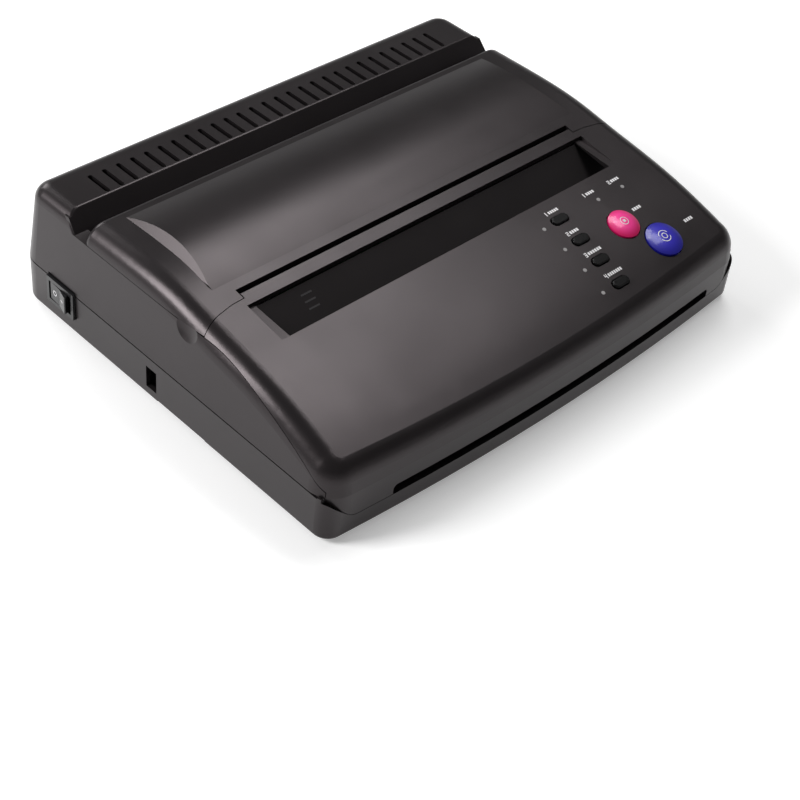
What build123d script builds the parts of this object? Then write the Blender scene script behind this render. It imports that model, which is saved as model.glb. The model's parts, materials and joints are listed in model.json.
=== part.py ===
from build123d import *
import os
from math import acos, atan2, cos, degrees, pi, radians, sin, tan

os.makedirs("parts", exist_ok=True)

# ---------------------------------------------------------------- driving dimensions (mm)
roller_half = 109.0     # half length of the rollers: room for A4 paper
plate_in, plate_t = roller_half + 10.0, 2.0
plate_out = plate_in + plate_t
half_w = plate_out + 21.5   # half width at the parting line, with the gear bay beside the plate
wide = half_w + 20.0    # cutters reach past both sides
y_rear = 112.0
y_front = -112.0        # at the corners; the front is bowed beyond this
front_bow = 6.5
corner_r = 14.0
base_corner_r = 8.5     # front corners of the base pan
foot_h = 2.0
base_z = foot_h         # underside of the base pan
seam_z = 26.0           # base to upper casing parting line
wall = 2.5
lean = 6.5              # degrees the upper walls lean inwards
base_taper = 0.6        # degrees the base narrows downwards
shoulder_r = 11.0       # rounding of the long top edges
gap = 0.3               # seam between separate covers
run = 0.05              # radial running clearance of a shaft
seat = 0.01             # radial clearance of a pressed piece
in_wall = half_w - wall

top_pts = [(90, 67.0), (62.5, 67.0), (30, 67.5), (0, 66.0), (-24, 61.9), (-58, 56.1),
           (-90, 47.3), (-130, 31.0)]
side_pts = [(-24, 57.2), (-55, 52.0), (-83, 42.3), (-101, 33.5)]
ledge_z = 57.5          # top of the side walls beside the rear cover
apron_y = -107.2        # rear limit of the panel's front apron
apron_x, apron_z = half_w - 14.5, 12.0

# rear cover
cover_rear = 62.5
cover_front = -12.4
slot_end = roller_half + 2.0
hinge_y, hinge_z = 59.0, 61.5
hinge_pin_r = 1.5
lug_x0, lug_x1 = half_w - 20.1, half_w - 15.1
bulge_x, bulge_h = half_w - 22.5, 4.6
notch_y, notch_z, notch_r, notch_depth = -13.5, 59.0, 7.5, 1.9

# ridge
ridge_z = 66.5
ridge_top_y = 77.5
ridge_foot_y = 70.0
vent_n, vent_pitch, vent_w, vent_l, vent_y = 28, 8.32, 2.6, 16.0, 86.5

# document recess
rec_rear, rec_front = -22.3, -46.3
rec_in = roller_half - 1.0
rec_out = rec_in + 4.5
slit_x0, slit_x1, slit_top = -roller_half + 3.5, roller_half + 7.5, 17.4

# chassis and drive
shaft_r = 3.0
bush_r = 5.0
platen_y, platen_z, platen_r = 22.0, 47.0, 8.0
nip = 0.35
path_a, path_b = (-46.3, 43.5), (-118.0, 14.0)
path_ang = atan2(path_a[1] - path_b[1], path_a[0] - path_b[0])
feed_r = 6.0
feed_nip_y = -94.0
gear_x, gear_w = plate_out + 1.0, 5.0
module = 1.0
backlash = 0.14
n_platen, n_idler, n_pinion, n_feed = 24, 20, 14, 16
stub_r = 2.5
motor_shaft_r = 1.5

# controls
key_o_y = -80.0
key_tilt = radians(17.6)
board_h, board_t = -6.5, 1.6
switch_h = -5.6
flange_h = -5.0
panel_x = half_w - 86.5     # line of the four keys
key_pts = [(panel_x, y) for y in (-59.5, -74.0, -87.6, -101.6)]
key_l, key_w = 10.5, 4.8
stop_pt, stop_r = (panel_x + 28.0, -78.0), 8.5
copy_pt, copy_r = (panel_x + 41.0, -94.5), 10.0
key_clear = 0.55
lamp_pts = [(panel_x + dx, y) for dx, y in (
    (-12.0, -60.2), (-12.0, -74.6), (-12.0, -88.2), (-13.0, -101.8), (28.5, -60.0), (47.0, -60.0))]

# switch and inlet
switch_y, switch_z = 76.5, 19.0
switch_face = -half_w + 0.6
inlet_x, inlet_z = 47.5 - half_w, 14.2
inlet_face = y_rear - 0.9
boss_pts = [(sx * (half_w - 8.0), y) for sx in (-1, 1) for y in (96.0, 0.0, -88.0)]
chassis_pts = [(sx * (roller_half - 24), y) for sx in (-1, 1) for y in (45.0, -66.0)]
foot_pts = [(sx * (half_w - 24.5), y) for sx in (-1, 1) for y in (90.0, -88.0)]
head_pts = [(x, y) for x in (14 - roller_half, 0, roller_half - 14) for y in (17.5, 33.0)]
board_x0, board_x1 = panel_x - 23.0, panel_x + 56.0
board_pts = [(board_x0 + 5, -55), (board_x1 - 4, -55), (board_x0 + 5, -107), (board_x0 + 37, -107)]

# origin of the finished object: middle of its box, on the floor
shift = Location((1.85, 2.75, 0))


def save(part, name):
    part = part.moved(shift)
    part.label = name
    export_step(part, f"parts/{name}.step")


# ---------------------------------------------------------------- shared outlines
def plan(inset=0.0, rear=y_rear, rear_round=True, front_r=corner_r):
    x, yr, yf = half_w - inset, rear - inset, y_front + inset
    with BuildSketch() as outline:
        with BuildLine():
            Polyline((x, yf), (x, yr), (-x, yr), (-x, yf))
            ThreePointArc((-x, yf), (0, yf - front_bow), (x, yf))
        make_face()
        if rear_round:
            fillet(outline.vertices().sort_by(Axis.Y)[-2:], corner_r - inset)
        fillet(outline.vertices().sort_by(Axis.Y)[:2], front_r - inset)
    return outline.sketch


def yz_bar(points, x0, x1):
    """A bar along X with the given outline in Y and Z."""
    with BuildPart() as bar:
        with BuildSketch(Plane.YZ.offset(x0)):
            with BuildLine():
                Polyline(*points, close=True)
            make_face()
        extrude(amount=x1 - x0)
    return bar.part


def yz_disc(y, z, r, x0, x1):
    with BuildPart() as disc:
        with BuildSketch(Plane.YZ.offset(x0)):
            with Locations((y, z)):
                Circle(r)
        extrude(amount=x1 - x0)
    return disc.part


def block(x0, x1, y0, y1, z0, z1):
    with BuildPart() as blk:
        with Locations(((x0 + x1) / 2, (y0 + y1) / 2, (z0 + z1) / 2)):
            Box(x1 - x0, y1 - y0, z1 - z0)
    return blk.part


def post(x, y, r, z0, z1):
    with BuildPart() as pst:
        with Locations((x, y, (z0 + z1) / 2)):
            Cylinder(r, z1 - z0)
    return pst.part


def both_sides(part):
    return [part, part.mirror(Plane.YZ)]


def base_prism(inset=0.0, floor=base_z, front_r=base_corner_r):
    with BuildPart() as prism:
        with BuildSketch(Plane.XY.offset(seam_z)):
            add(plan(inset, front_r=front_r))
        extrude(amount=-(seam_z - floor), taper=base_taper)
    return prism.part


def upper_prism(inset=0.0, height=50.0):
    with BuildPart() as prism:
        with BuildSketch(Plane.XY.offset(seam_z)):
            add(plan(inset))
        extrude(amount=height, taper=lean)
    return prism.part


def top_edge(inset=0.0):
    with BuildLine(Plane.YZ) as line:
        Spline(*[(y, z - inset) for y, z in top_pts])
    return line.line.edges()[0]


def top_z(y):
    """Height of the covers' middle line at a given Y."""
    edge, lo, hi = TOP_EDGE, 0.0, 1.0
    for _ in range(40):
        mid = (lo + hi) / 2
        if edge.position_at(mid).Y > y:
            lo = mid
        else:
            hi = mid
    return edge.position_at(lo).Z


def envelope(inset=0.0):
    """The rounded outer form shared by the rear cover, the control panel and the side walls."""
    with BuildPart() as env:
        with BuildSketch(Plane.XY.offset(seam_z)):
            add(plan(inset, 80 + inset, False))
        extrude(amount=50, taper=lean)
        with BuildSketch(Plane.YZ.offset(-wide)):
            with BuildLine():
                arc = Spline(*[(y, z - inset * 1.04) for y, z in top_pts])
                Polyline(arc @ 1, (-130, 0), (90, 0), arc @ 0)
            make_face()
        extrude(amount=2 * wide, mode=Mode.INTERSECT)
        roof = env.faces().filter_by(lambda f: f.center().Z > 55).sort_by(SortBy.AREA)[-1]
        fillet(roof.edges().filter_by(lambda e: e.center().Y < 79), shoulder_r - inset)
    return env.part


def cut(body, *tools):
    for tool in tools:
        body = body - tool
    return body


TOP_EDGE = top_edge()
ENV = envelope()
ENV_IN = envelope(wall)
BASE_OUT = base_prism()
BASE_IN = base_prism(wall, base_z + wall)
APRON = base_prism(front_r=corner_r) - base_prism(wall, base_z + wall, corner_r)


def side_zone(extra=0.0):
    """Everything below the seam that runs along the side walls."""
    with BuildPart() as zone:
        with BuildSketch(Plane.YZ.offset(-wide)):
            with BuildLine():
                curve = Spline(*[(y, z + extra) for y, z in side_pts], tangents=((-1, -0.04), (-0.85, -0.5)))
                Polyline(curve @ 1, (apron_y - extra, 28.5 + extra), (apron_y - extra, 0), (130, 0),
                         (130, ledge_z + extra), (-15, ledge_z + extra), curve @ 0)
            make_face()
        extrude(amount=2 * wide)
    return zone.part


def apron_zone(extra=0.0):
    """The front region where the panel reaches down over the base."""
    low, high = apron_z - extra, seam_z - 2.0 - extra
    corner, side = apron_x, half_w - 1.5
    with BuildPart() as zone:
        with BuildSketch(Plane.XZ.offset(-apron_y - extra)):
            with BuildLine():
                Polyline((-corner, low), (corner, low), (side, high), (wide, high + 2), (wide, 80),
                         (-wide, 80), (-wide, high + 2), (-side, high), close=True)
            make_face()
            fillet(vertices().filter_by(lambda v: v.Z < apron_z + 2), 8.0)
        extrude(amount=30)
    return zone.part


def seam_points(y_mid):
    half = [(slot_end, y_mid), (slot_end, -18.0), (half_w - 24.5, -18.3), (half_w - 15.5, -20.0),
            (half_w - 3.5, -23.4), (wide, -27.5)]
    return half


def cover_zone():
    right = seam_points(cover_front)
    left = [(-x, y) for x, y in reversed(right)]
    with BuildPart() as zone:
        with BuildSketch(Plane.XY.offset(0)):
            with BuildLine():
                Polyline((wide, cover_rear), (-wide, cover_rear), *left, *right, close=True)
            make_face()
        extrude(amount=100)
    return zone.part


def panel_zone():
    right = [(x, y - 0.4) for x, y in seam_points(-15.0)]
    right[0], right[1] = (slot_end - 0.6, -15.4), (slot_end - 0.6, -18.4)
    left = [(-x, y) for x, y in reversed(right)]
    with BuildPart() as zone:
        with BuildSketch(Plane.XY.offset(0)):
            with BuildLine():
                Polyline(*left, *right, (wide, -140), (-wide, -140), close=True)
            make_face()
        extrude(amount=100)
    return zone.part


# ---------------------------------------------------------------- key plane
KEY_O_Z = top_z(key_o_y)
KEY_PLANE = Plane(origin=(0, key_o_y, KEY_O_Z), x_dir=(1, 0, 0), z_dir=(0, -sin(key_tilt), cos(key_tilt)))


def key_local(pt):
    """Position along the key plane, and the surface height over it, for a point on the panel."""
    dy, dz = pt[1] - key_o_y, top_z(pt[1]) - KEY_O_Z
    return dy * cos(key_tilt) + dz * sin(key_tilt), -dy * sin(key_tilt) + dz * cos(key_tilt)


def key_prism(sketch_fn, pt, h0, h1):
    s, _ = key_local(pt)
    with BuildPart() as prism:
        with BuildSketch(KEY_PLANE.offset(h0)):
            with Locations((pt[0], s)):
                sketch_fn()
        extrude(amount=h1 - h0)
    return prism.part


# ---------------------------------------------------------------- base pan
def base_pan():
    with BuildPart() as shell:
        add(BASE_OUT)
        fillet(shell.faces().sort_by(Axis.Z)[0].edges(), 2.0)
        add(BASE_IN, mode=Mode.SUBTRACT)
    body = cut(shell.part, apron_zone())
    inner = []
    for x, y in boss_pts:
        inner.append(post(x, y, 4.0, base_z + 1, seam_z))
        inner.append(block(min(x, x * 1.05), max(x, x * 1.05), y - 1.5, y + 1.5, base_z + 1, seam_z - 4))
    inner += [post(x, y, 5.0, base_z + 1, 6.5) for x, y in chassis_pts]
    for y in (64.5, -40):
        inner += both_sides(block(half_w - 8.5, half_w - 3.5, y, y + 1.5, base_z + 1, 18))
    for x in (-60, 0, 60):
        inner.append(block(x - 0.75, x + 0.75, 64, 109, base_z + 1, 6.0))
    body = body + [i & BASE_OUT for i in inner]
    tools = []
    for x, y in boss_pts:
        tools.append(post(x, y, 1.6, 0, seam_z + 1))
        tools.append(post(x, y, 3.25, 0, base_z + 2.2))
    tools += [post(x, y, 1.2, base_z + 1.5, 7) for x, y in chassis_pts]
    tools.append(block(-wide, switch_face, switch_y - 10.8, switch_y + 10.8, switch_z - 7.8, 30))
    tools.append(block(-wide, 12 - half_w, switch_y - 9.6, switch_y + 9.6, switch_z - 6.5, switch_z + 6.5))
    tools.append(block(inlet_x - 13.8, inlet_x + 13.8, 100, 120, inlet_z - 10, inlet_z + 10))
    tools.append(block(inlet_x - 15.4, inlet_x + 15.4, inlet_face, 120, inlet_z - 11.0, inlet_z + 11.0))
    tools.append(block(-wide, 7.5 - half_w, 4.2, 11.7, 7.5, 19.7))
    tools.append(block(-wide, 2.6 - half_w, -30.7, 4.2, 0, base_z + 1.8))
    tools.append(seam_groove())
    return cut(body, *tools)


def seam_groove(depth=1.2, height=0.7):
    """The shadow line round the top of the base pan."""
    with BuildPart() as groove:
        with BuildSketch(Plane.XY.offset(seam_z - height)):
            add(plan(-depth))
            add(plan(depth, front_r=base_corner_r), mode=Mode.SUBTRACT)
        extrude(amount=height + 1)
    return groove.part


# ---------------------------------------------------------------- upper casing with ridge
def finger_scoop():
    """A shallow spherical scoop in the side wall, under the cover's edge."""
    ball = (notch_r ** 2 + notch_depth ** 2) / (2 * notch_depth)
    wall_x = half_w - (notch_z - seam_z) * tan(radians(lean))
    with BuildPart() as scoop:
        with Locations((wall_x + ball - notch_depth, notch_y, notch_z)):
            Sphere(ball)
    return scoop.part


def ridge_solid():
    with BuildPart() as ridge:
        add(upper_prism())
        with BuildSketch(Plane.YZ.offset(-wide)):
            with BuildLine():
                Polyline((cover_rear, 0), (120, 0), (120, ridge_z), (ridge_top_y, ridge_z),
                         (ridge_foot_y, ledge_z), (cover_rear, ledge_z), close=True)
            make_face()
        extrude(amount=2 * wide, mode=Mode.INTERSECT)
        top = ridge.faces().sort_by(Axis.Z)[-1]
        front = top.edges().sort_by(Axis.Y)[0]
        fillet(top.edges().filter_by(lambda e: e.center().Y > front.center().Y + 1), 8.0)
        edge = ridge.edges().filter_by(Axis.X).filter_by(lambda e: e.center().Z > 60).sort_by(Axis.Y)[0]
        fillet(edge, 1.5)
    return ridge.part


def hinge_lug():
    foot = yz_bar([(hinge_y - 2.6, hinge_z), (hinge_y - 2.6, 50), (66.5, 50), (69.2, 56.9), (64, 56.9),
                   (hinge_y + 2.6, 59.2), (hinge_y + 2.6, hinge_z)], lug_x0, lug_x1)
    eye = yz_disc(hinge_y, hinge_z, 2.6, lug_x0, lug_x1)
    hole = yz_disc(hinge_y, hinge_z, hinge_pin_r + run, lug_x0 - 1, lug_x1 + 1)
    return foot + eye - hole


def upper_casing():
    outer = (ENV & side_zone() & block(-wide, wide, -130, cover_rear, seam_z, 80)) + ridge_solid()
    slant = (ridge_top_y - ridge_foot_y) / (ridge_z - ledge_z)
    foot_z = 49.0
    foot_y = ridge_foot_y - (ledge_z - foot_z) * slant
    t_y = wall * (1 + slant ** 2) ** 0.5
    rear_in = [(120, 20), (120, ridge_z - wall), (ridge_top_y - wall * slant + t_y, ridge_z - wall),
               (foot_y + t_y, foot_z), (foot_y, foot_z), (foot_y, 20)]
    front_in = [(foot_y, 20), (foot_y, foot_z), (ridge_top_y + 8 * slant, ridge_z + 8), (-125, 80),
                (-125, 20)]
    hollow = upper_prism(wall)
    body = outer - (hollow & yz_bar(rear_in, -wide, wide)) - (ENV_IN & yz_bar(front_in, -wide, wide))
    top_in = ridge_top_y - wall * slant
    wallbar = yz_bar([(foot_y, foot_z), (foot_y + t_y, foot_z), (top_in + t_y, ridge_z - wall),
                      (top_in, ridge_z - wall)], 1.5 - half_w, half_w - 1.5) & upper_prism(0.5)
    parts = [wallbar]
    bridge = block(half_w - 11.5, half_w - 0.5, cover_rear, ridge_foot_y + 3, foot_z, ledge_z)
    parts += both_sides(bridge & upper_prism(0.5)
                        & yz_bar([(cover_rear, 0), (cover_rear, ledge_z), (ridge_foot_y, ledge_z),
                                  (ridge_foot_y + 3, ledge_z + 3), (ridge_foot_y + 3, 0)], -wide, wide))
    parts += both_sides(hinge_lug())
    parts += both_sides(block(lug_x0, half_w - 0.5, 63.5, 66.5, foot_z + 1, 56.5) & upper_prism(0.5))
    for x, y in boss_pts:
        boss = post(x, y, 4.0, seam_z, 37.0)
        rib = block(min(x, x * 1.06), max(x, x * 1.06), y - 1.5, y + 1.5, seam_z + 1, 35.0)
        parts.append((boss + rib) & upper_prism(0.5))
    body = body + parts
    tools = [post(x, y, 1.5 + seat, seam_z - 1, 34.0) for x, y in boss_pts]
    with BuildPart() as vents:
        with BuildSketch(Plane.XY.offset(60)):
            with Locations((0, vent_y)):
                with GridLocations(vent_pitch, 1, vent_n, 1):
                    SlotOverall(vent_l, vent_w, rotation=90)
        extrude(amount=10)
    tools.append(vents.part)
    tools += both_sides(finger_scoop())
    tools.append(block(-wide, 3.3 - half_w, switch_y - 10.8, switch_y + 10.8, 20, 27.6))
    return cut(body, *tools)


# ---------------------------------------------------------------- rear cover
def bulge(inset=0.0):
    """The raised arch across the rear cover, with leaning crescent ends."""
    h = bulge_h
    with BuildPart() as arch:
        with BuildSketch(Plane.YZ.offset(-wide)):
            with BuildLine():
                ThreePointArc((58, 66.6 - inset), (27, 67.2 + h - inset), (-8, 64.6 - inset))
                Polyline((-8, 64.6 - inset), (-8, 60), (58, 60), (58, 66.6 - inset))
            make_face()
        extrude(amount=2 * wide)
        with BuildSketch(Plane.XZ.offset(-70)):
            with BuildLine():
                x = bulge_x - inset
                Polyline((-x, 66), (6 - x, 73), (x - 6, 73), (x, 66), (x, 58), (-x, 58), close=True)
            make_face()
        extrude(amount=90, mode=Mode.INTERSECT)
    return arch.part


def knuckle(x0, x1):
    arm = yz_bar([(hinge_y - 2.8, hinge_z), (hinge_y + 2.8, hinge_z), (61.5, 66), (46, 66), (46, 63.5),
                  (52, 62.2)], x0, x1)
    return arm + yz_disc(hinge_y, hinge_z, 2.8, x0, x1)


def cover_shell():
    zone = cover_zone() & block(-wide, wide, -60, 80, ledge_z + gap, 90)
    outer = ENV & zone
    with BuildPart() as skin:
        add(outer)
        rear = skin.edges().filter_by(lambda e: abs(e.center().Y - cover_rear) < 0.05 and e.length > 180
                                      and e.center().Z > 62)
        fillet(rear, 3.0)
    outer = skin.part + bulge()
    inner_zone = block(-wide, wide, cover_front + wall, cover_rear - wall, 0, 100)
    side_room = cover_zone() & block(-wide, wide, -60, cover_rear - wall, 0, 100)
    inner = (ENV_IN & inner_zone) + bulge(wall)
    ends = both_sides(ENV_IN & side_room & block(slot_end + wall, wide, -60, cover_front + wall, 0, 100)
                      & block(0, wide, -16.5, 0, 0, 100))
    body = cut(outer, inner, *ends)
    arms = both_sides(knuckle(lug_x0 - 6.0, lug_x0 - gap)) + both_sides(knuckle(lug_x1 + gap, lug_x1 + 3.8))
    arms = [a & outer for a in arms]
    posts = [post(x, y, 3.0, 64.0, 75) & bulge(1.0) for x, y in head_pts]
    ribs = [block(x - 0.75, x + 0.75, 12, 40, 66.0, 75) & bulge(1.0) for x in (-60, -30, 30, 60)]
    body = body + arms + posts + ribs
    rear_round = yz_bar([(hinge_y, hinge_z), (hinge_y, 50), (70, 50), (70, hinge_z)], -wide, wide)
    rear_round = rear_round - yz_disc(hinge_y, hinge_z, 3.6, -wide, wide)
    tools = [rear_round, block(-slot_end + 0.6, slot_end - 0.6, cover_front - 1, cover_front + wall + 0.1,
                               50, 61.3)]
    tools += both_sides(block(lug_x0 - gap, lug_x1 + gap, 59.0, 64, 50, 64.9))
    tools += both_sides(yz_disc(hinge_y, hinge_z, hinge_pin_r + seat, lug_x0 - 7.4, lug_x1 + 3.9))
    tools += [post(x, y, 1.1, 60, 68.2) for x, y in head_pts]
    return cut(body, *tools)


def cover_pieces():
    save(cover_shell(), "cover_shell")
    pins = both_sides(yz_disc(hinge_y, hinge_z, hinge_pin_r, lug_x0 - 6.0, lug_x1 + 3.8))
    save(Compound(pins), "cover_hinge_pins")
    head_z = platen_z + platen_r + nip
    half = roller_half + 4
    save(block(1 - half, half - 1, 14.5, 29.5, head_z, head_z + 1.0), "thermal_head")
    sink_top = head_z + 6.0
    with BuildPart() as sink:
        add(block(-half, half, 12.5, 38.5, head_z + 1.0, sink_top))
        with Locations((0, 25.5, sink_top)):
            with GridLocations(1, 5.0, 1, 4):
                Box(2 * half - 26, 2.0, 5.0, mode=Mode.SUBTRACT)
    save(sink.part, "head_heatsink")
    plate = block(-half, half, 13.0, 37.5, 63.0, 64.0)
    lips = [block(-half, half, y, y + 1.0, 62.0, 64.0) for y in (12.0, 37.5)]
    plate = plate + lips
    save(cut(plate, *[post(x, y, 1.3, 60, 66) for x, y in head_pts]), "head_bracket")
    screws = [post(x, y, 2.2, 62.1, 63.0) + post(x, y, 1.0, 63.0, 68.0) for x, y in head_pts]
    save(Compound(screws), "head_screws")
    springs = []
    for x in (-60, 60):
        with BuildPart() as leaf:
            with BuildSketch(Plane.XZ.offset(-28.5)):
                with BuildLine():
                    ThreePointArc((x - 22, sink_top), (x, 62.7), (x + 22, sink_top))
                    Line((x + 22, sink_top), (x + 20.6, sink_top))
                    ThreePointArc((x + 20.6, sink_top), (x, 62.3), (x - 20.6, sink_top))
                    Line((x - 20.6, sink_top), (x - 22, sink_top))
                make_face()
            extrude(amount=6)
        springs.append(leaf.part)
    save(Compound(springs), "head_springs")


# ---------------------------------------------------------------- control panel
def panel_shell():
    zone = panel_zone()
    low = side_zone(gap)
    upper_out = (ENV & zone) - low
    upper_in = ENV_IN
    front = apron_zone(-gap)
    apron = APRON & front & block(-wide, wide, -140, apron_y - gap, 0, seam_z)
    nose = ENV & front & block(-wide, wide, -140, apron_y - gap, seam_z, 80)
    body = (upper_out + nose) - upper_in
    body = body + apron
    rear_lip = block(-slot_end + 0.6, slot_end - 0.6, -17.4, -15.4, 57.5, 63) & ENV
    lip = yz_bar([(rec_front, 50.0), (rec_front, 58.0), (rec_front - 1.5, 57.6), (rec_front - 1.5, 50.0)],
                 -rec_in, rec_in) & ENV
    body = body + [rear_lip, lip]
    posts = []
    for x, y in board_pts:
        posts.append(key_prism(lambda: Circle(2.6), (x, y), board_h, 2.0) & ENV)
    body = body + posts
    z_r = top_z(rec_rear)
    tools = [block(-rec_in, rec_in, rec_front, rec_rear, 40, 80)]
    tools.append(yz_bar([(rec_rear, z_r + 3), (rec_rear, z_r - 2.0), (rec_front, top_z(rec_front)),
                         (rec_front, z_r + 3)], -rec_out, rec_out))
    tools.append(exit_slit())
    for pt in key_pts:
        tools.append(key_prism(lambda: SlotOverall(key_l + 2 * key_clear, key_w + 2 * key_clear), pt, -6, 6))
    tools.append(key_prism(lambda: Circle(stop_r + key_clear), stop_pt, -6, 6))
    tools.append(key_prism(lambda: Circle(copy_r + key_clear), copy_pt, -6, 6))
    for pt in lamp_pts:
        tools.append(key_prism(lambda: Circle(1.1), pt, -6, 6))
    for x, y in board_pts:
        tools.append(key_prism(lambda: Circle(1.0 + seat), (x, y), board_h - 1, board_h + 4))
    return cut(body, *tools)


def exit_slit():
    """The paper slit through the front apron, with round ends."""
    low = apron_z - 1.0
    with BuildPart() as slit:
        with BuildSketch(Plane.XZ.offset(108)):
            with Locations(((slit_x0 + slit_x1) / 2, (low + slit_top) / 2)):
                RectangleRounded(slit_x1 - slit_x0, slit_top - low, 2.4)
        extrude(amount=17)
    return slit.part


def key_cap(pt):
    s, h = key_local(pt)
    with BuildPart() as cap:
        with BuildSketch(KEY_PLANE.offset(flange_h)):
            with Locations((pt[0], s)):
                SlotOverall(key_l, key_w)
        extrude(amount=h + 1.1 - flange_h)
        fillet(cap.faces().sort_by(Axis(KEY_PLANE.origin, KEY_PLANE.z_dir))[-1].edges(), 0.6)
        with BuildSketch(KEY_PLANE.offset(flange_h)):
            with Locations((pt[0], s)):
                SlotOverall(key_l + 2.4, key_w + 2.4)
        extrude(amount=h - wall - 1.0 - flange_h)
    return cap.part


def round_button(pt, r):
    """A domed cap: a cylinder with a retaining flange, its top cut by a large sphere."""
    s, h = key_local(pt)
    rise, edge = 2.4, 0.8
    ball = (r ** 2 + (rise - edge) ** 2) / (2 * (rise - edge))
    with BuildPart() as cap:
        with BuildSketch(KEY_PLANE.offset(flange_h)):
            with Locations((pt[0], s)):
                Circle(r)
        extrude(amount=h + rise - flange_h)
        with Locations(KEY_PLANE.from_local_coords((pt[0], s, h + rise - ball))):
            Sphere(ball, mode=Mode.INTERSECT)
        with BuildSketch(KEY_PLANE.offset(flange_h)):
            with Locations((pt[0], s)):
                Circle(r + 1.2)
        extrude(amount=h - wall - 1.1 - flange_h)
    return cap.part


def panel_pieces():
    save(panel_shell(), "panel_shell")
    for i, pt in enumerate(key_pts):
        save(key_cap(pt), f"key_{i + 1}")
    save(round_button(stop_pt, stop_r), "stop_button")
    save(round_button(copy_pt, copy_r), "copy_button")
    (s0, _), (s1, _) = key_local((0, -51.5)), key_local((0, -110.0))
    with BuildPart() as board:
        with BuildSketch(KEY_PLANE.offset(board_h - board_t)):
            with Locations(((board_x0 + board_x1) / 2, (s0 + s1) / 2)):
                Rectangle(board_x1 - board_x0, s0 - s1)
        extrude(amount=board_t)
    holes = [key_prism(lambda: Circle(1.15), (x, y), board_h - board_t - 1, board_h + 1)
             for x, y in board_pts]
    save(cut(board.part, *holes), "key_board")
    screws = []
    for x, y in board_pts:
        under = board_h - board_t
        screws.append(key_prism(lambda: Circle(2.0), (x, y), under - 0.9, under)
                      + key_prism(lambda: Circle(1.0), (x, y), under, board_h + 3.6))
    save(Compound(screws), "key_board_screws")
    switches = [key_prism(lambda: Rectangle(6, 6), pt, board_h, switch_h)
                for pt in key_pts + [stop_pt, copy_pt]]
    save(Compound(switches), "key_switches")
    lamps = [key_prism(lambda: Circle(1.0), pt, board_h, key_local(pt)[1] + 0.15) for pt in lamp_pts]
    save(Compound(lamps), "indicator_lamps")


# ---------------------------------------------------------------- document path
def path_z(y):
    return path_b[1] + (y - path_b[0]) * tan(path_ang)


NIP = (feed_nip_y, path_z(feed_nip_y))
SENSOR_PLANE = Plane(origin=(0, NIP[0], NIP[1]), x_dir=(1, 0, 0), z_dir=(0, -sin(path_ang), cos(path_ang)))
feed_y = NIP[0] - (feed_r + 0.2) * sin(path_ang)
feed_z = NIP[1] + (feed_r + 0.2) * cos(path_ang)


def sensor_bar(half_x, s0, s1, h0, h1):
    with BuildPart() as bar:
        with BuildSketch(SENSOR_PLANE.offset(h0)):
            with Locations((0, (s0 + s1) / 2)):
                Rectangle(2 * half_x, s1 - s0)
        extrude(amount=h1 - h0)
    return bar.part


def document_pieces():
    t = 2.0
    y_end = -85.0
    tray = yz_bar([(-22.7, 59.2), path_a, (y_end, path_z(y_end)), (y_end + 0.7, path_z(y_end) - t),
                   (path_a[0] + 0.9, path_a[1] - t), (-22.7, 59.2 - 2.4)], -plate_in, plate_in)
    ribs = [yz_bar([(-40, 46), (-40, 40), (-60, 35.5), (-60, 38.5 - t), (path_a[0] + 0.5, path_a[1] - t)],
                   x - 0.75, x + 0.75) for x in (-80, -40, 0, 40, 80)]
    save(tray + ribs, "document_tray")
    y0, y1, lift = -49.5, -87.0, 2.6
    guide = yz_bar([(y0, path_z(y0) + lift + 1.5), (y0, path_z(y0) + lift), (y1, path_z(y1) + lift),
                    (y1, path_z(y1) + lift + 1.5)], -roller_half, roller_half)
    webs = [block(x - 0.75, x + 0.75, y1 + 2, y0 - 1, 20, 70) & ENV_IN
            & yz_bar([(y0, path_z(y0) + lift), (y0, 70), (y1, 70), (y1, path_z(y1) + lift)],
                     -plate_in, plate_in)
            for x in (4 - roller_half, -35, 25)]
    save(guide + webs, "upper_guide")
    save(sensor_bar(roller_half + 2, -7, 7, -1.5, -0.3), "sensor_glass")
    housing = sensor_bar(roller_half + 4, -8, 8, -10.5, -1.5)
    channel = sensor_bar(roller_half - 1, -3, 3, -6.0, -1.0)
    save(housing - channel, "image_sensor")
    leaves = []
    for x in (-70, 70):
        with BuildPart() as leaf:
            with BuildSketch(Plane(origin=SENSOR_PLANE.from_local_coords((x, -3, -12.0)), x_dir=(1, 0, 0),
                                   z_dir=-SENSOR_PLANE.y_dir)):
                with BuildLine():
                    ThreePointArc((-18, 0), (0, 1.45), (18, 0))
                    Line((18, 0), (16.4, 0))
                    ThreePointArc((16.4, 0), (0, 1.05), (-16.4, 0))
                    Line((-16.4, 0), (-18, 0))
                make_face()
            extrude(amount=-6)
        leaves.append(leaf.part)
    save(Compound(leaves), "sensor_springs")
    above_floor = block(-plate_in, plate_in, -130, -60, 8.0, 60)
    cradle = sensor_bar(roller_half + 6, -8.5, 8.5, -30, -12.0) & above_floor
    fence = sensor_bar(roller_half + 6, 8.3, 9.8, -30, -3.0) & above_floor
    save(cradle + fence, "sensor_cradle")
    lip = yz_bar([(-102.8, 19.6), (-102.8, 8.0), (-104.3, 8.0), (-104.3, 15.5), (-109.5, 13.6),
                  (-109.5, 15.6)],
                 -roller_half - 3, roller_half + 3)
    save(lip, "exit_lip")


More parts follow.
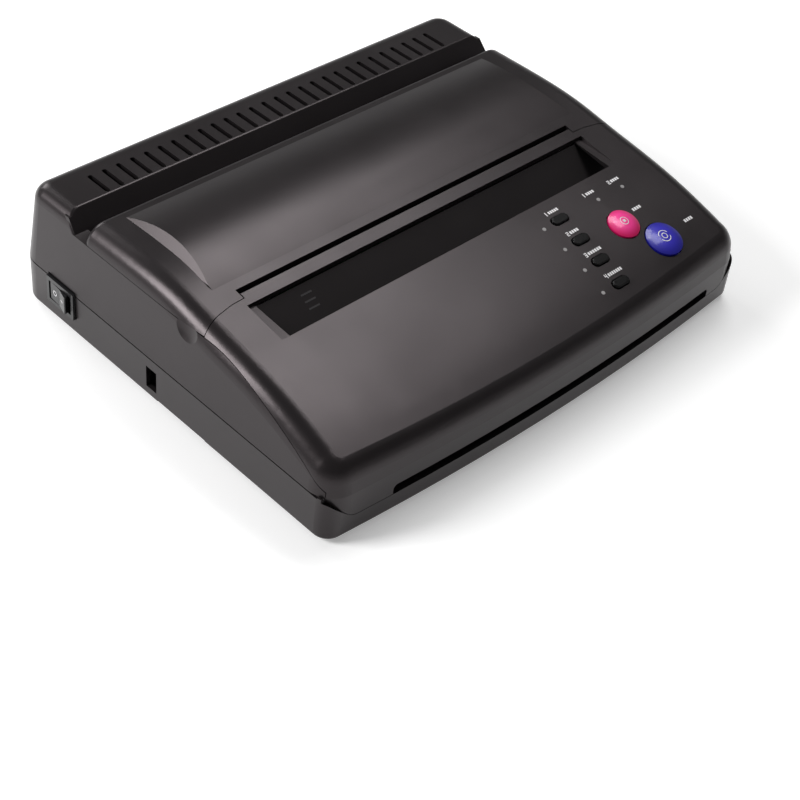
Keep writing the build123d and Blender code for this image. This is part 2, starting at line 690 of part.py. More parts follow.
# ---------------------------------------------------------------- stencil path
def stencil_pieces():
    rear = yz_bar([(62.0, 50.0), (33.5, 53.2), (33.5, 51.0), (36, 50.6), (36, 42), (38, 42), (38, 50.2),
                   (62.0, 47.6)], -plate_in, plate_in)
    save(rear, "stencil_guide")
    front = yz_bar([(11.0, 53.6), (-8.0, 57.5), (-12.5, 59.6), (-14.0, 59.4), (-14.0, 57.4), (-9, 55.4),
                    (7.0, 52.2), (7.0, 44), (9.0, 44), (9.0, 51.7), (11.0, 51.3)], -plate_in, plate_in)
    trims = both_sides(block(slot_end - 1.0, wide, -20, 6, 57.4, 70))
    save(cut(front, *trims), "exit_guide")


# ---------------------------------------------------------------- chassis, rollers and gears
def inv(a):
    return tan(a) - a


def gear_points(teeth, phase):
    """Involute tooth outline round the origin; the phase is a tooth's direction in degrees."""
    rp, press = module * teeth / 2, radians(20)
    rb, ra, rd = rp * cos(press), rp + 0.85 * module, rp - 1.2 * module
    half = pi / (2 * teeth) - backlash / (2 * rp)
    flank = []
    for r in (rd, max(rb, rd + 0.05), (max(rb, rd) + ra) / 2, ra):
        a = half + inv(press) - (inv(acos(min(1.0, rb / r))) if r > rb else 0.0)
        flank.append((r, a))
    pts = []
    for i in range(teeth):
        mid = radians(phase) + 2 * pi * i / teeth
        for r, a in flank:
            pts.append((r * cos(mid - a), r * sin(mid - a)))
        for r, a in reversed(flank):
            pts.append((r * cos(mid + a), r * sin(mid + a)))
    return pts


def mesh_phase(phase, teeth, direction, mate):
    """Phase of a mating gear that lies in the given direction from the first."""
    f = ((phase - direction) * teeth / 360) % 1
    return direction + 180 + ((0.5 - f) % 1) * 360 / mate


def gear_part(teeth, y, z, phase, bore, hub_r):
    pts = [(y + a, z + b) for a, b in gear_points(teeth, phase)]
    body = yz_bar(pts, gear_x, gear_x + gear_w)
    if teeth > 18:
        rp = module * teeth / 2
        groove = yz_disc(y, z, rp - 2.6, gear_x + gear_w - 1.2, gear_x + gear_w + 1)
        body = body - (groove - yz_disc(y, z, hub_r, gear_x, gear_x + gear_w + 2))
    return body - yz_disc(y, z, bore, gear_x - 1, gear_x + gear_w + 1)


def polar(y, z, dist, direction):
    return y + dist * cos(radians(direction)), z + dist * sin(radians(direction))


dir_idler, dir_pinion = -70.0, 0.0
idler_y, idler_z = polar(platen_y, platen_z, module * (n_platen + n_idler) / 2, dir_idler)
motor_y, motor_z = polar(idler_y, idler_z, module * (n_idler + n_pinion) / 2, dir_pinion)
dir_fidler, dir_fpinion = 10.0, -50.0
fidler_y, fidler_z = polar(feed_y, feed_z, module * (n_feed + n_idler) / 2, dir_fidler)
fmotor_y, fmotor_z = polar(fidler_y, fidler_z, module * (n_idler + n_pinion) / 2, dir_fpinion)
motor_r, motor_l = 17.5, 22.0
fmotor_r, fmotor_l = 11.0, 20.0


def chassis_frame():
    side = [(-106, 6.5), (62, 6.5), (62, 47.4), (45, 55.5), (9, 55.5), (-8, 57), (-22, 55), (-60, 49),
            (-90, 40.5), (-100, 37.0), (-106, 33)]
    plates = both_sides(yz_bar(side, plate_in, plate_out))
    floor = block(-plate_in - 0.5, plate_in + 0.5, -106, 62, 6.5, 8.0)
    window = block(19 - roller_half, roller_half - 19, -60, -48, 6, 9)
    body = floor + plates - window
    tools = []
    for y, z in ((platen_y, platen_z), (feed_y, feed_z)):
        tools += both_sides(yz_disc(y, z, bush_r + seat, plate_in - 1, plate_out + 1))
    tools.append(yz_disc(motor_y, motor_z, 5.2, plate_in - 1, plate_out + 1))
    tools.append(yz_disc(fmotor_y, fmotor_z, 5.2, plate_in - 1, plate_out + 1))
    tools.append(yz_disc(idler_y, idler_z, stub_r + seat, plate_in - 1, plate_out + 1))
    tools.append(yz_disc(fidler_y, fidler_z, stub_r + seat, plate_in - 1, plate_out + 1))
    tools += both_sides(yz_bar([(-40, 14), (-10, 14), (-10, 34), (-40, 34)], plate_in - 1, plate_out + 1))
    tools += [post(x, y, 1.6, 6, 9) for x, y in chassis_pts]
    return cut(body, *tools)


def bushes(y, z):
    one = yz_disc(y, z, bush_r + 1.6, plate_in - 1.6, plate_in) + yz_disc(y, z, bush_r, plate_in, plate_out)
    one = one - yz_disc(y, z, shaft_r + run, plate_in - 3, plate_out + 1)
    return Compound(both_sides(one))


def roller(y, z, r, name):
    sleeve = yz_disc(y, z, r, -roller_half, roller_half)
    save(sleeve - yz_disc(y, z, shaft_r + seat, -roller_half - 1, roller_half + 1), f"{name}_roller")
    save(yz_disc(y, z, shaft_r, -plate_out - 3.0, gear_x + gear_w + 0.5), f"{name}_shaft")
    save(bushes(y, z), f"{name}_bushes")


def stub(y, z):
    pin = yz_disc(y, z, stub_r, plate_in + 0.2, gear_x + gear_w + 0.3)
    return pin + yz_disc(y, z, stub_r + 1.3, gear_x + gear_w + 0.3, gear_x + gear_w + 1.2)


def motor(y, z, r, length):
    can = yz_disc(y, z, r, plate_in - length, plate_in) + yz_disc(y, z, 5.0, plate_in, plate_out - 0.2)
    return can - yz_disc(y, z, motor_shaft_r + run, plate_in - 10, plate_out + 1)


def drive_pieces():
    save(chassis_frame(), "chassis_frame")
    roller(platen_y, platen_z, platen_r, "platen")
    roller(feed_y, feed_z, feed_r, "feed")
    ph = 0.0
    save(gear_part(n_platen, platen_y, platen_z, ph, shaft_r + seat, 5.0), "platen_gear")
    ph2 = mesh_phase(ph, n_platen, dir_idler, n_idler)
    save(gear_part(n_idler, idler_y, idler_z, ph2, stub_r + run, 4.2), "platen_idler_gear")
    ph3 = mesh_phase(ph2, n_idler, dir_pinion, n_pinion)
    save(gear_part(n_pinion, motor_y, motor_z, ph3, motor_shaft_r + seat, 4.0), "platen_pinion")
    save(gear_part(n_feed, feed_y, feed_z, ph, shaft_r + seat, 5.0), "feed_gear")
    ph4 = mesh_phase(ph, n_feed, dir_fidler, n_idler)
    save(gear_part(n_idler, fidler_y, fidler_z, ph4, stub_r + run, 4.2), "feed_idler_gear")
    ph5 = mesh_phase(ph4, n_idler, dir_fpinion, n_pinion)
    save(gear_part(n_pinion, fmotor_y, fmotor_z, ph5, motor_shaft_r + seat, 4.0), "feed_pinion")
    save(Compound([stub(idler_y, idler_z), stub(fidler_y, fidler_z)]), "idler_axles")
    save(motor(motor_y, motor_z, motor_r, motor_l), "platen_motor")
    save(motor(fmotor_y, fmotor_z, fmotor_r, fmotor_l), "feed_motor")
    x0, x1 = plate_in - 9.5, gear_x + gear_w + 0.5
    save(yz_disc(motor_y, motor_z, motor_shaft_r, x0, x1), "platen_motor_shaft")
    save(yz_disc(fmotor_y, fmotor_z, motor_shaft_r, x0, x1), "feed_motor_shaft")


# ---------------------------------------------------------------- electrics
def switch_pieces():
    y, z = switch_y, switch_z
    flange = block(switch_face - 2.0, switch_face, y - 10.5, y + 10.5, z - 7.5, z + 7.5)
    can = block(switch_face, 16.5 - half_w, y - 9.5, y + 9.5, z - 6.4, z + 6.4)
    well = block(switch_face - 3, 12.5 - half_w, y - 8.6, y + 8.6, z - 5.4, z + 5.4)
    body = flange + can - well
    pivot_x = switch_face + 3.5
    pins = [post(pivot_x, y, 1.2, z - 5.9, z - 4.9), post(pivot_x, y, 1.2, z + 4.9, z + 5.9)]
    holes = [post(pivot_x, y, 1.2 + run, z - 5.95, z - 5.2), post(pivot_x, y, 1.2 + run, z + 5.2, z + 5.95)]
    save(cut(body, *holes), "switch_body")
    with BuildPart() as paddle:
        with BuildSketch(Plane.XY.offset(z - 5.0)):
            with BuildLine():
                Polyline(*[(pivot_x + dx, y + dy) for dx, dy in (
                    (2.6, -5.2), (2.6, 5.2), (-3.8, 7.6), (-5.2, 7.6), (-5.7, 0), (-7.8, -7.0),
                    (-3.8, -5.9))], close=True)
            make_face()
        extrude(amount=10.0)
        fillet(paddle.edges().filter_by(Axis.Z).sort_by(Axis.X)[:2], 0.5)
    save(paddle.part + pins, "switch_rocker")


def inlet():
    x, z = inlet_x, inlet_z
    face = inlet_face
    flange = block(x - 15.2, x + 15.2, face, face + 1.8, z - 10.8, z + 10.8)
    can = block(x - 13.5, x + 13.5, face - 20, face, z - 9.4, z + 9.4)
    body = flange + can
    with BuildPart() as mouth:
        with BuildSketch(Plane.XZ.offset(-(face + 3))):
            with Locations((x, z)):
                Rectangle(24.6, 16.6)
        extrude(amount=20)
    body = body - mouth.part
    blades = [block(x + dx - 1.0, x + dx + 1.0, face - 17, face - 1.5, z + dz - 2.0, z + dz + 2.0)
              for dx, dz in ((-7, -1.5), (7, -1.5), (0, 3.0))]
    save(body, "inlet_housing")
    save(Compound(blades), "inlet_blades")


def board_pieces():
    save(block(-60, 60, -40, 20, 12.0, 13.6), "main_board")
    stand = [post(x, y, 3.0, 8.0, 12.0) for x in (-54, 54) for y in (-34, 14)]
    save(Compound(stand), "board_standoffs")
    chips = [block(-20, 8, -25, 3, 13.6, 15.6), block(25, 37, -20, -4, 13.6, 15.4),
             block(-50, -34, -30, -22, 13.6, 21),
             block(-50, -20, 8, 14, 13.6, 19), block(14, 50, 8, 14, 13.6, 19), post(42, -28, 4, 13.6, 24.6)]
    save(Compound(chips), "board_parts")
    save(block(-72, 38, 67, 106, 9.0, 10.6), "supply_board")
    stand = [post(x, y, 3.0, base_z + wall, 9.0) for x in (-66, 32) for y in (72, 101)]
    save(Compound(stand), "supply_standoffs")
    parts = [block(-22, 8, 72, 100, 10.6, 36), post(-42, 80, 9, 10.6, 38), block(-66, -55, 88, 102, 10.6, 26),
             block(14, 18, 70, 102, 10.6, 34), post(28, 80, 5, 10.6, 28), post(28, 93, 5, 10.6, 28)]
    save(Compound(parts), "supply_parts")


def fastener_pieces():
    screws = []
    for x, y in boss_pts:
        screws.append(post(x, y, 2.9, base_z + 0.3, base_z + 2.2) + post(x, y, 1.5, base_z + 2.2, 33.0))
    save(Compound(screws), "case_screws")
    screws = [post(x, y, 3.0, 8.0, 9.8) + post(x, y, 1.2 - seat, base_z + 2.0, 8.0)
              for x, y in chassis_pts]
    save(Compound(screws), "chassis_screws")
    feet = []
    for x, y in foot_pts:
        with BuildPart() as foot:
            with Locations((x, y, foot_h / 2)):
                Cylinder(7.0, foot_h)
            chamfer(foot.faces().sort_by(Axis.Z)[0].edges(), 0.6)
        feet.append(foot.part)
    save(Compound(feet), "rubber_feet")


save(base_pan(), "base_pan")
save(upper_casing(), "upper_casing")
cover_pieces()
panel_pieces()
document_pieces()
stencil_pieces()
drive_pieces()
switch_pieces()
inlet()
board_pieces()
fastener_pieces()
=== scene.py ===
import json
from math import cos, pi, radians, sin

import bmesh
import bpy
from mathutils import Matrix, Vector
from mathutils.bvhtree import BVHTree


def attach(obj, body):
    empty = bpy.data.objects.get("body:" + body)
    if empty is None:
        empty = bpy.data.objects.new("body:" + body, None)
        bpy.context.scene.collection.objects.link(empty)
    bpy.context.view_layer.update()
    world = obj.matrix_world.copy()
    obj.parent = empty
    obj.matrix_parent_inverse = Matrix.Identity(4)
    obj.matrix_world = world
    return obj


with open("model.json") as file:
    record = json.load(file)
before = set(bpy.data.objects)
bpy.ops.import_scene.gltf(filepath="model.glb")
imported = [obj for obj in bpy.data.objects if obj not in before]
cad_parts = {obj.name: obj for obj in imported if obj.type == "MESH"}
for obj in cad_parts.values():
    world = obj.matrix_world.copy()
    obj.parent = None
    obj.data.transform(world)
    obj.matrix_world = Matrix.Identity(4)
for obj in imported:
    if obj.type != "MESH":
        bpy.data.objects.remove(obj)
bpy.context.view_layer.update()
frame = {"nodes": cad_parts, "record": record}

node = frame["nodes"]

# from the CAD source's coordinates to the frame's, which has its origin at the middle of the box (mm)
MOVE = Vector((1.85, 2.75, 0.0))


def at(x, y, z=0.0):
    """A place given in the CAD source's millimetres, in the frame's metres."""
    return (Vector((x, y, z)) + MOVE) / 1000


# ---------------------------------------------------------------- materials
class Shader:
    """A Principled material with helpers for the procedural parts of its node tree."""

    def __init__(self, name, colour, rough, metallic=0.0, specular=0.5):
        self.mat = bpy.data.materials.new(name)
        self.mat.use_nodes = True
        self.tree = self.mat.node_tree
        self.bsdf = self.tree.nodes["Principled BSDF"]
        self.coords = self.tree.nodes.new("ShaderNodeTexCoord").outputs["Object"]
        self.set("Base Color", (*colour, 1))
        self.set("Roughness", rough)
        self.set("Metallic", metallic)
        self.set("Specular IOR Level", specular)
        self.normal = None

    def set(self, socket, value):
        self.bsdf.inputs[socket].default_value = value

    def link(self, a, b):
        self.tree.links.new(a, b)

    def new(self, kind, **values):
        made = self.tree.nodes.new(kind)
        for key, value in values.items():
            made.inputs[key.replace("_", " ")].default_value = value
        return made

    def stretch(self, scale):
        mapping = self.new("ShaderNodeMapping", Scale=scale)
        self.link(self.coords, mapping.inputs["Vector"])
        return mapping.outputs["Vector"]

    def noise(self, scale, detail=3.0, vector=None):
        made = self.new("ShaderNodeTexNoise", Scale=scale, Detail=detail, Roughness=0.55)
        self.link(vector or self.coords, made.inputs["Vector"])
        return made.outputs["Fac"]

    def cells(self, scale):
        made = self.new("ShaderNodeTexVoronoi", Scale=scale)
        self.link(self.coords, made.inputs["Vector"])
        return made.outputs["Distance"]

    def span(self, factor, low, high, start=0.3, end=0.7):
        made = self.new("ShaderNodeMapRange")
        for key, value in (("From Min", start), ("From Max", end), ("To Min", low), ("To Max", high)):
            made.inputs[key].default_value = value
        self.link(factor, made.inputs["Value"])
        return made.outputs["Result"]

    def vary_rough(self, factor, low, high):
        self.link(self.span(factor, low, high), self.bsdf.inputs["Roughness"])

    def vary_colour(self, factor, first, second, start=0.3, end=0.7):
        ramp = self.tree.nodes.new("ShaderNodeValToRGB")
        ramp.color_ramp.elements[0].position = start
        ramp.color_ramp.elements[1].position = end
        ramp.color_ramp.elements[0].color = (*first, 1)
        ramp.color_ramp.elements[1].color = (*second, 1)
        self.link(factor, ramp.inputs["Fac"])
        self.link(ramp.outputs["Color"], self.bsdf.inputs["Base Color"])

    def bump(self, height, strength, distance):
        made = self.new("ShaderNodeBump", Strength=strength, Distance=distance)
        self.link(height, made.inputs["Height"])
        if self.normal:
            self.link(self.normal, made.inputs["Normal"])
        self.normal = made.outputs["Normal"]
        self.link(self.normal, self.bsdf.inputs["Normal"])


def moulded(name, colour, rough, grain=0.3, grain_mm=0.45, mottle=0.12, specular=0.5, tint=(1, 1, 1)):
    """Spark-eroded moulded plastic: fine grain, slight flow mottling, handling shine."""
    s = Shader(name, colour, rough, specular=specular)
    s.set("Specular Tint", (*tint, 1))
    light = tuple(min(1, c * (1 + mottle)) for c in colour)
    dark = tuple(c * (1 - mottle) for c in colour)
    s.vary_colour(s.noise(38, 4), dark, light)
    s.vary_rough(s.noise(22, 5), rough - 0.035, rough + 0.035)
    if grain:
        s.bump(s.noise(1000 / grain_mm, 2), grain, 0.00006)
        s.bump(s.noise(60, 2), 0.05, 0.0004)
    return s


def metal(name, colour, rough, brush, scale=900):
    """Bare metal with fine drawn or turned lines along one axis."""
    s = Shader(name, colour, rough, metallic=1.0)
    lines = s.noise(scale, 3, s.stretch(brush))
    s.vary_rough(lines, rough - 0.08, rough + 0.1)
    s.vary_colour(s.noise(70, 4), tuple(c * 0.86 for c in colour), colour)
    s.bump(lines, 0.15, 0.00004)
    return s


casing = moulded("casing_black_grain", (0.0105, 0.0090, 0.0095), 0.31, grain=0.16, grain_mm=0.5,
                 specular=0.38, tint=(1.0, 0.88, 0.91))
inner = moulded("inner_black_grain", (0.0065, 0.0058, 0.0060), 0.45, grain=0.3, grain_mm=0.6, specular=0.26,
                tint=(1.0, 0.88, 0.91))
switch_black = moulded("switch_black_gloss", (0.012, 0.012, 0.013), 0.24, grain=0.06, grain_mm=0.4)
key_black = moulded("key_black_satin", (0.0022, 0.0020, 0.0022), 0.26, grain=0.05, grain_mm=0.4,
                    specular=0.16)
rubber = moulded("rubber_black_matt", (0.022, 0.022, 0.022), 0.72, grain=0.5, grain_mm=0.8, mottle=0.2)
feed_rubber = moulded("rubber_white_ground", (0.66, 0.65, 0.6), 0.62, grain=0.4, grain_mm=0.5, mottle=0.06)
acetal = moulded("acetal_natural", (0.74, 0.72, 0.62), 0.38, grain=0.08, grain_mm=0.5, mottle=0.05)
component = moulded("component_black_moulded", (0.025, 0.025, 0.028), 0.45, grain=0.3, grain_mm=0.35)
lamp = moulded("lamp_clear_diffuse", (0.33, 0.32, 0.32), 0.2, grain=0.05, grain_mm=0.4, mottle=0.05)
sheet = metal("zinc_sheet", (0.6, 0.6, 0.6), 0.38, (1, 1, 0.06))
steel = metal("turned_steel", (0.64, 0.63, 0.62), 0.28, (0.05, 1, 1))
spring = metal("spring_wire", (0.5, 0.5, 0.52), 0.3, (1, 1, 1))
brass = metal("turned_brass", (0.72, 0.5, 0.2), 0.3, (0.05, 1, 1))
aluminium = metal("extruded_aluminium", (0.74, 0.74, 0.76), 0.34, (0.03, 1, 1))
can = metal("motor_can_satin", (0.24, 0.24, 0.26), 0.34, (0.05, 1, 1))


def solder_mask():
    s = Shader("board_green_mask", (0.012, 0.10, 0.035), 0.25)
    tracks = s.cells(420)
    s.vary_colour(tracks, (0.016, 0.16, 0.055), (0.009, 0.085, 0.03), 0.28, 0.34)
    s.bump(s.span(tracks, 1, 0, 0.28, 0.34), 0.25, 0.00005)
    s.vary_rough(s.noise(80), 0.2, 0.32)
    return s


def head_glaze():
    s = Shader("head_ceramic_glaze", (0.70, 0.66, 0.54), 0.14)
    s.vary_colour(s.noise(55, 5), (0.60, 0.56, 0.45), (0.74, 0.70, 0.60))
    s.bump(s.noise(500, 2, s.stretch((1, 0.05, 1))), 0.06, 0.00005)
    s.set("Coat Weight", 0.4)
    return s


def clear_glass():
    s = Shader("sensor_glass_clear", (0.86, 0.93, 0.9), 0.04)
    s.set("Transmission Weight", 0.92)
    s.set("IOR", 1.5)
    s.vary_rough(s.noise(45, 5), 0.03, 0.09)
    s.bump(s.noise(150, 2), 0.02, 0.00005)
    return s


def lacquered(name, colour, rim_shade, centre, radius):
    """A translucent coloured cap under clear lacquer: paler in the middle of the dome, with painted shade
    making it deeper at its rim, where the dome turns from the light.
    """
    s = Shader(name, colour, 0.34, specular=0.25)
    shift = s.new("ShaderNodeVectorMath")
    shift.operation = "DISTANCE"
    shift.inputs[1].default_value = centre
    s.link(s.coords, shift.inputs[0])
    # painted shade: the cap's colour darkens from the middle of the dome to its rim
    rim_shade_mask = s.span(shift.outputs["Value"], 0, 1, radius * 0.55, radius * 1.06)
    s.vary_colour(rim_shade_mask, colour, rim_shade, 0.0, 1.0)
    s.bump(s.noise(260, 2), 0.02, 0.00004)
    s.set("Coat Weight", 0.45)
    s.set("Coat Roughness", 0.12)
    s.set("Subsurface Weight", 0.06)
    s.set("Subsurface Radius", (0.003, 0.001, 0.001))
    return s


def ink(name, colour):
    """Pad-printed ink: matt, slightly uneven cover."""
    s = Shader(name, colour, 0.5)
    s.vary_colour(s.noise(1400, 3), tuple(c * 0.8 for c in colour), colour, 0.25, 0.55)
    s.bump(s.noise(2600, 2), 0.2, 0.00003)
    return s


STOP_AT, COPY_AT = (84.0, -78.0), (97.0, -94.5)
# each cap's second colour is the painted shade at its rim
stop_pink = lacquered("stop_pink_lacquer", (0.94, 0.050, 0.30), (0.60, 0.008, 0.11),
                       at(*STOP_AT, 54.6), 0.0085)
copy_blue = lacquered("copy_blue_lacquer", (0.030, 0.024, 0.44), (0.010, 0.009, 0.24),
                      at(*COPY_AT, 49.4), 0.0100)
white_ink = ink("ink_white", (0.80, 0.79, 0.80))
grey_ink = ink("ink_dark_grey", (0.030, 0.027, 0.029))

BY_SLOT = {
    "casing_black": casing, "inner_black": inner, "rubber_black": rubber, "rubber_white": feed_rubber,
    "sheet_steel": sheet, "steel": steel, "spring_steel": spring, "motor_can": can,
    "gear_plastic": acetal, "bush_brass": brass, "board_green": solder_mask(),
    "component_black": component, "glass": clear_glass(), "head_ceramic": head_glaze(),
    "heatsink_aluminium": aluminium, "switch_black": switch_black, "key_black": key_black,
    "stop_pink": stop_pink, "copy_blue": copy_blue, "lamp_clear": lamp,
}
for part in frame["record"]["subparts"]:
    mesh = node[part["node"]].data
    mesh.materials.clear()
    mesh.materials.append(BY_SLOT[part["material_slot"]].mat)


# ---------------------------------------------------------------- printed marks (mm)
INK_LIFT = 0.00005      # metres that a mark stands off its surface
LONGEST_EDGE = 1.0      # longer edges are divided, so that a mark follows a curved surface


def tree_of(name):
    made = bmesh.new()
    made.from_mesh(node[name].data)
    tree = BVHTree.FromBMesh(made)
    made.free()
    return tree


def printed(name, outlines, carrier, body, shader=white_ink, sideways=False):
    """Marks drawn as outlines in mm, laid on the carrier from above (x, y) or from its left side (y, z)."""
    tree = tree_of(carrier)
    mark = bmesh.new()
    for outline in outlines:
        mark.faces.new([mark.verts.new((x, y, 0)) for x, y in outline])
    edges = [e for e in mark.edges if e.calc_length() > LONGEST_EDGE]
    if edges:
        bmesh.ops.subdivide_edges(mark, edges=edges, cuts=3, use_grid_fill=True)
    bmesh.ops.triangulate(mark, faces=mark.faces[:])
    for v in mark.verts:
        across, along = v.co.x, v.co.y
        if sideways:
            hit, normal, _, _ = tree.ray_cast(at(-200, across, along), Vector((1, 0, 0)))
        else:
            hit, normal, _, _ = tree.ray_cast(at(across, along, 100), Vector((0, 0, -1)))
        v.co = hit + normal * INK_LIFT
    mesh = bpy.data.meshes.new(name)
    mark.to_mesh(mesh)
    mark.free()
    mesh.materials.append(shader.mat)
    made = bpy.data.objects.new(name, mesh)
    bpy.context.scene.collection.objects.link(made)
    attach(made, body)
    return made


def bar(x, y, w, h):
    return [(x - w / 2, y - h / 2), (x + w / 2, y - h / 2), (x + w / 2, y + h / 2), (x - w / 2, y + h / 2)]


def ring(x, y, r, thick, start=0.0, turn=360.0, n=40):
    """A ring or arc as a row of quads."""
    quads = []
    for i in range(n):
        a, b = (radians(start + turn * k / n) for k in (i, i + 1))
        quads.append([(x + (r - thick) * cos(a), y + (r - thick) * sin(a)), (x + r * cos(a), y + r * sin(a)),
                      (x + r * cos(b), y + r * sin(b)), (x + (r - thick) * cos(b), y + (r - thick) * sin(b))])
    return quads


DIGIT_W, STROKE_W = 0.62, 0.2       # shares of a numeral's height


def number(digit, x, y, h):
    """A plain numeral drawn with straight strokes, its left foot at x, y."""
    strokes = {"1": ["c"], "2": ["top", "ur", "mid", "ll", "foot"], "3": ["top", "ur", "mid", "lr", "foot"],
               "4": ["ul", "mid", "ur", "lr"]}[digit]
    w, t = h * DIGIT_W, h * STROKE_W
    boxes = {"top": (w / 2, h - t / 2, w, t), "mid": (w / 2, h / 2, w, t), "foot": (w / 2, t / 2, w, t),
             "ul": (t / 2, h * 0.75, t, h / 2), "ll": (t / 2, h * 0.25, t, h / 2),
             "ur": (w - t / 2, h * 0.75, t, h / 2), "lr": (w - t / 2, h * 0.25, t, h / 2),
             "c": (w / 2, h / 2, t * 1.2, h)}
    return [bar(x + cx, y + cy, bw, bh) for cx, cy, bw, bh in (boxes[s] for s in strokes)]


def blocks(left, right, y, h, wide=1.15, gap=0.36):
    """A row of short plain blocks, in place of a word's letters."""
    count = max(1, round((right - left + gap) / (wide + gap)))
    step = (right - left + gap) / count
    return [bar(left + step * i + (step - gap) / 2, y, step - gap, h) for i in range(count)]


def label(x, y, width, digit, h=2.5):
    """A number followed by a row of blocks."""
    left = x - width / 2
    row_start = left + h * DIGIT_W + 0.8
    return number(digit, left, y - h / 2, h) + blocks(row_start, x + width / 2, y, h * 0.66)


WORD_H = 1.7
ROCKER_Z = 19.0
TRAY_ICON_X, TRAY_ICON_ROWS = -81.0, (-26.8, -29.8, -32.8)
LABELS = [("1", 56.0, -53.6, 9.2), ("2", 55.8, -68.4, 8.2), ("3", 56.2, -82.2, 11.5),
          ("4", 56.6, -95.9, 12.0), ("1", 82.8, -54.3, 8.0), ("2", 101.8, -54.4, 8.0)]
for i, (digit, x, y, width) in enumerate(LABELS):
    printed(f"panel_label_{i + 1}", label(x, y, width, digit), "panel_shell", "housing")
printed("stop_label", blocks(95.6, 101.6, -73.8, WORD_H), "panel_shell", "housing")
printed("copy_label", blocks(116.4, 122.4, -91.8, WORD_H), "panel_shell", "housing")
printed("stop_symbol", ring(*STOP_AT, 2.3, 0.35) + [bar(*STOP_AT, 1.5, 1.5)], "stop_button", "stop_key")
printed("copy_symbol", ring(*COPY_AT, 3.4, 0.42, 20, 140) + ring(*COPY_AT, 3.4, 0.42, 200, 140)
        + ring(*COPY_AT, 1.7, 0.45), "copy_button", "copy_key")
printed("rocker_marks", ring(80.4, ROCKER_Z, 1.5, 0.42) + [bar(73.4, ROCKER_Z, 2.4, 0.5)],
        "switch_rocker", "power_rocker", sideways=True)
printed("tray_icon", [bar(TRAY_ICON_X, y, 6.4, 0.7) for y in TRAY_ICON_ROWS],
        "document_tray", "housing", grey_ink)

# ---------------------------------------------------------------- camera, light, floor
AZ, EL, ROLL = radians(-48.119), radians(39.285), radians(6.457)
back = Vector((sin(AZ) * cos(EL), -cos(AZ) * cos(EL), sin(EL)))
right = (-back).cross(Vector((0, 0, 1))).normalized()
up = right.cross(-back)
turned = right * cos(ROLL) + up * sin(ROLL)
upright = up * cos(ROLL) - right * sin(ROLL)
camera = bpy.data.objects.new("camera", bpy.data.cameras.new("camera"))
bpy.context.scene.collection.objects.link(camera)
camera.matrix_world = Matrix.Translation(at(-513.2, -473.4, 556.6)) @ Matrix(
    [(turned[i], upright[i], back[i]) for i in range(3)]).to_4x4()
camera.data.lens = 78.96
camera.data.sensor_width = 36
camera.data.shift_x, camera.data.shift_y = -0.0014, -0.105
camera.data.clip_start, camera.data.clip_end = 0.05, 50
bpy.context.scene.camera = camera


LAMP_REACH, LAMP_AIM = 1.6, (0, 0, 0.04)
WORLD_LEVEL = 0.14


def softbox(name, azimuth, elevation, size, power):
    """A soft lamp aimed at the object: azimuth from the rear towards its right, in degrees."""
    data = bpy.data.lights.new(name, "AREA")
    data.shape, data.size, data.size_y = "RECTANGLE", *size
    data.energy = power
    a, e = radians(azimuth), radians(elevation)
    way = Vector((sin(a) * cos(e), cos(a) * cos(e), sin(e)))
    made = bpy.data.objects.new(name, data)
    made.location = Vector(LAMP_AIM) + way * LAMP_REACH
    made.rotation_euler = (-way).to_track_quat("-Z", "Y").to_euler()
    bpy.context.scene.collection.objects.link(made)


softbox("left_rear", -60, 32, (0.55, 0.6), 22)
softbox("rear", 0, 30, (0.6, 0.5), 6)
softbox("right_rear", 54, 60, (0.5, 0.6), 7)
softbox("right", 90, 62, (0.5, 0.5), 5)

world = bpy.data.worlds.new("studio")
world.use_nodes = True
world.node_tree.nodes["Background"].inputs["Color"].default_value = (1, 1, 1, 1)
world.node_tree.nodes["Background"].inputs["Strength"].default_value = WORLD_LEVEL
bpy.context.scene.world = world
bpy.context.scene.view_settings.view_transform = "Standard"


FLOOR_GLOW = 0.3
FLOOR_STEPS = 72
FLOOR_SINK = 0.0002     # metres below the feet
# radius and height of the floor's profile in metres, from under the object to the top of its wall
SWEEP = [(0.4, 0.0), (4.6, 0.0), (5.2, 0.08), (5.7, 0.35), (5.9, 0.8), (6.0, 1.9)]


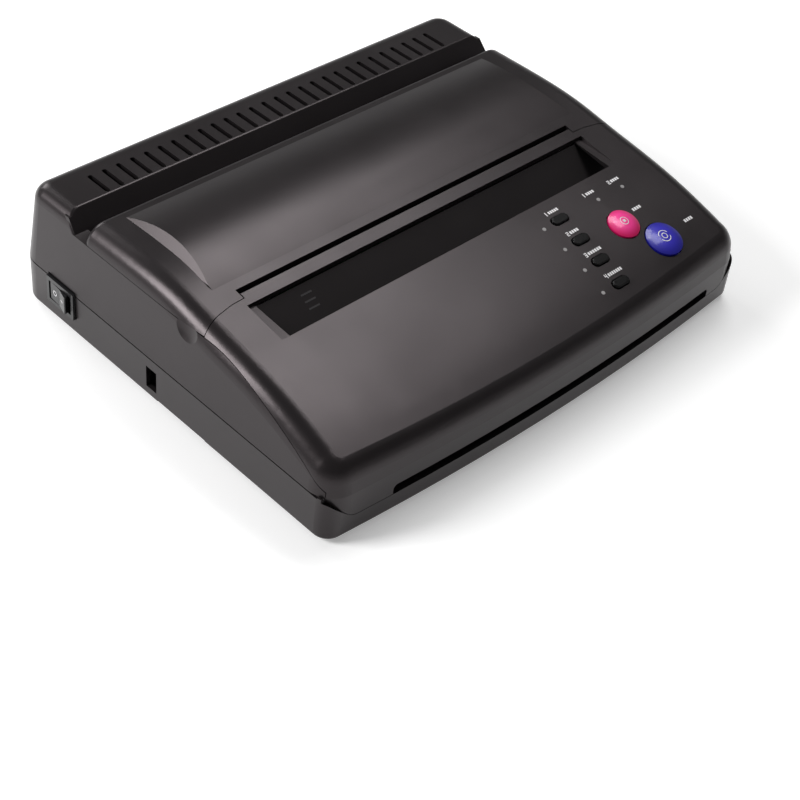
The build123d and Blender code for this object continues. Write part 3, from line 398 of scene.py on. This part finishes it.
def studio_white():
    """White paper; rays from the camera, in gloss and through glass also see it glow up to white."""
    s = Shader("studio_white", (0.9, 0.9, 0.9), 0.7)
    s.vary_rough(s.noise(3), 0.65, 0.75)
    s.vary_colour(s.noise(1.5), (0.89, 0.89, 0.89), (0.91, 0.91, 0.91))
    path = s.tree.nodes.new("ShaderNodeLightPath")
    seen = path.outputs["Is Camera Ray"]
    for ray in ("Is Glossy Ray", "Is Transmission Ray"):
        either = s.tree.nodes.new("ShaderNodeMath")
        either.operation = "MAXIMUM"
        s.link(seen, either.inputs[0])
        s.link(path.outputs[ray], either.inputs[1])
        seen = either.outputs["Value"]
    glow = s.new("ShaderNodeEmission", Color=(1, 1, 1, 1))
    level = s.tree.nodes.new("ShaderNodeMath")
    level.operation = "MULTIPLY"
    level.inputs[1].default_value = FLOOR_GLOW
    s.link(seen, level.inputs[0])
    s.link(level.outputs["Value"], glow.inputs["Strength"])
    both = s.tree.nodes.new("ShaderNodeAddShader")
    s.link(s.bsdf.outputs["BSDF"], both.inputs[0])
    s.link(glow.outputs["Emission"], both.inputs[1])
    s.link(both.outputs["Shader"], s.tree.nodes["Material Output"].inputs["Surface"])
    return s.mat


def studio_floor():
    """A round floor that sweeps up into a low wall, turned from one profile (radius, height)."""
    made = bmesh.new()
    rings = []
    for r, z in SWEEP:
        turns = (2 * pi * i / FLOOR_STEPS for i in range(FLOOR_STEPS))
        rings.append([made.verts.new((r * cos(t), r * sin(t), z - FLOOR_SINK)) for t in turns])
    made.faces.new(rings[0])
    for low, high in zip(rings, rings[1:]):
        for i in range(FLOOR_STEPS):
            j = (i + 1) % FLOOR_STEPS
            made.faces.new([low[i], low[j], high[j], high[i]])
    bmesh.ops.recalc_face_normals(made, faces=made.faces[:])
    mesh = bpy.data.meshes.new("floor")
    made.to_mesh(mesh)
    made.free()
    mesh.polygons.foreach_set("use_smooth", [True] * len(mesh.polygons))
    mesh.materials.append(studio_white())
    floor = bpy.data.objects.new("floor", mesh)
    bpy.context.scene.collection.objects.link(floor)


studio_floor()
